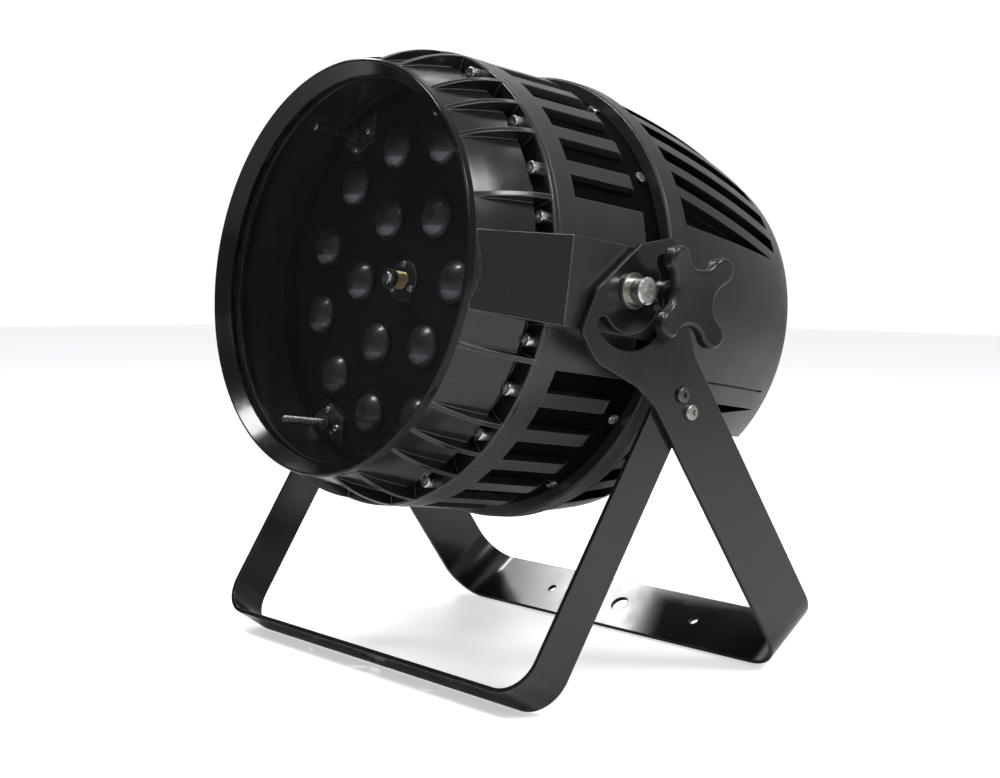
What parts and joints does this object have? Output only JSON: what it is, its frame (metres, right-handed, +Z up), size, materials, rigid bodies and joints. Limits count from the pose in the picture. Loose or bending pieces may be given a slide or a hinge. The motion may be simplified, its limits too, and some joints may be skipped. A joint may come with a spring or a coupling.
{
  "type": "par can light",
  "caption": "Zoom LED par can light with a glazed lens array, ribbed die-cast body and star knobs, tilting on two spread steel yokes.",
  "frame": {"origin": "on the floor, under the middle of the fixture's overall width and length, standing on its spread yokes", "axes": "+Z up, -Y the way the lens window faces, +X the side to the left of someone facing the window"},
  "size_m": [0.37, 0.3338, 0.397],
  "materials": {
    "cast_black": "satin black powder coat on die-cast aluminium",
    "bezel_black": "gloss black lacquer",
    "yoke_black": "fine satin black powder coat on steel strip",
    "window_glass": "clear toughened glass",
    "lens_clear": "clear acrylic",
    "plate_black": "matte black",
    "seal_rubber": "matte silicone rubber",
    "screw_steel": "bright stainless steel",
    "nickel_steel": "nickel plated",
    "spring_brass": "brass coloured wire",
    "nut_bronze": "bronze",
    "knob_plastic": "satin black moulded plastic",
    "bush_nylon": "natural nylon",
    "spreader_aluminium": "milled",
    "board_green": "solder mask",
    "board_white": "white solder mask",
    "led_yellow": "phosphor",
    "motor_dark": "lacquered steel",
    "case_zinc": "plain sheet",
    "panel_black": "satin black",
    "display_tint": "tinted acrylic",
    "button_rubber": "matte",
    "socket_plastic": "glass-filled nylon"
  },
  "bodies": {
    "main_yoke": {"main_yoke": "yoke_black", "arm_bushes": "bush_nylon", "fold_screws": "screw_steel", "lock_screws": "screw_steel", "yoke_nuts": "screw_steel", "yoke_spacers": "nickel_steel"},
    "stand_yoke": {"stand_yoke": "yoke_black"},
    "lens_carrier": {"lens_plate": "plate_black", "lenses": "lens_clear", "guide_bushes": "nut_bronze", "carrier_screws": "screw_steel", "lead_nut": "nut_bronze", "backlash_spring": "spring_brass"},
    "zoom_screw": {"lead_screw": "nickel_steel"},
    "knob_right_travel": {"knob_washer_right": "nickel_steel"},
    "knob_left_travel": {"knob_washer_left": "nickel_steel"},
    "knob_right": {"knob_right": "knob_plastic", "knob_stud_right": "screw_steel"},
    "knob_left": {"knob_left": "knob_plastic", "knob_stud_left": "screw_steel"},
    "button_up": {"button_up": "button_rubber"},
    "button_down": {"button_down": "button_rubber"},
    "button_enter": {"button_enter": "button_rubber"},
    "button_menu": {"button_menu": "button_rubber"},
    "lamp_head": {"front_bezel": "bezel_black", "front_glass": "window_glass", "glass_gasket": "seal_rubber", "front_housing": "cast_black", "flange_screws": "screw_steel", "seam_gasket": "seal_rubber", "middle_housing": "cast_black", "band_screws": "screw_steel", "rear_gasket": "seal_rubber", "rear_housing": "cast_black", "rear_screws": "screw_steel", "rear_panel": "panel_black", "panel_screws": "screw_steel", "display_window": "display_tint", "display_board": "board_green", "vent_valve": "socket_plastic", "safety_eye": "nickel_steel", "heat_spreader": "spreader_aluminium", "led_board": "board_white", "board_screws": "screw_steel", "leds": "led_yellow", "collimators": "lens_clear", "guide_rods": "nickel_steel", "zoom_motor": "motor_dark", "motor_screws": "screw_steel", "power_supply": "case_zinc", "driver_board": "board_green", "inner_bracket": "case_zinc", "pivot_bolts": "nickel_steel", "pivot_washers": "nickel_steel", "power_sockets": "socket_plastic", "data_sockets": "socket_plastic"}
  },
  "joints": [
    {"name": "head_tilt", "type": "hinge", "parent": "main_yoke", "child": "lamp_head", "pos_m": [0, -0.05041, 0.24659], "axis": [1, 0, 0], "range_deg": [-134, 40]},
    {"name": "stand_fold", "type": "hinge", "parent": "main_yoke", "child": "stand_yoke", "pos_m": [0, -0.00471, 0.18462], "axis": [1, 0, 0], "range_deg": [0, 67]},
    {"name": "zoom", "type": "slide", "parent": "lamp_head", "child": "lens_carrier", "axis": [0, -0.9925, 0.1219], "range_m": [-0.03, 0]},
    {"name": "zoom_screw_turn", "type": "hinge", "parent": "lamp_head", "child": "zoom_screw", "pos_m": [0, -0.05041, 0.24659], "axis": [0, -0.9925, 0.1219], "range_deg": [-2, 1352]},
    {"name": "knob_right_slide", "type": "slide", "parent": "lamp_head", "child": "knob_right_travel", "axis": [1, 0, 0], "range_m": [0, 0.0026]},
    {"name": "knob_right_turn", "type": "hinge", "parent": "knob_right_travel", "child": "knob_right", "pos_m": [0.15, -0.02063, 0.24294], "axis": [1, 0, 0], "range_deg": [0, 720]},
    {"name": "knob_left_slide", "type": "slide", "parent": "lamp_head", "child": "knob_left_travel", "axis": [-1, 0, 0], "range_m": [0, 0.0026]},
    {"name": "knob_left_turn", "type": "hinge", "parent": "knob_left_travel", "child": "knob_left", "pos_m": [-0.15, -0.02063, 0.24294], "axis": [-1, 0, 0], "range_deg": [0, 720]},
    {"name": "button_up_press", "type": "slide", "parent": "lamp_head", "child": "button_up", "axis": [0, -0.9925, 0.1219], "range_m": [0, 0.001]},
    {"name": "button_down_press", "type": "slide", "parent": "lamp_head", "child": "button_down", "axis": [0, -0.9925, 0.1219], "range_m": [0, 0.001]},
    {"name": "button_enter_press", "type": "slide", "parent": "lamp_head", "child": "button_enter", "axis": [0, -0.9925, 0.1219], "range_m": [0, 0.001]},
    {"name": "button_menu_press", "type": "slide", "parent": "lamp_head", "child": "button_menu", "axis": [0, -0.9925, 0.1219], "range_m": [0, 0.001]}
  ],
  "couplings": [
    {"joint": "zoom_screw_turn", "follows": "zoom", "rad_per_m": -785.4},
    {"joint": "knob_right_slide", "follows": "knob_right_turn", "m_per_rad": 0.00019894},
    {"joint": "knob_left_slide", "follows": "knob_left_turn", "m_per_rad": 0.00019894}
  ]
}
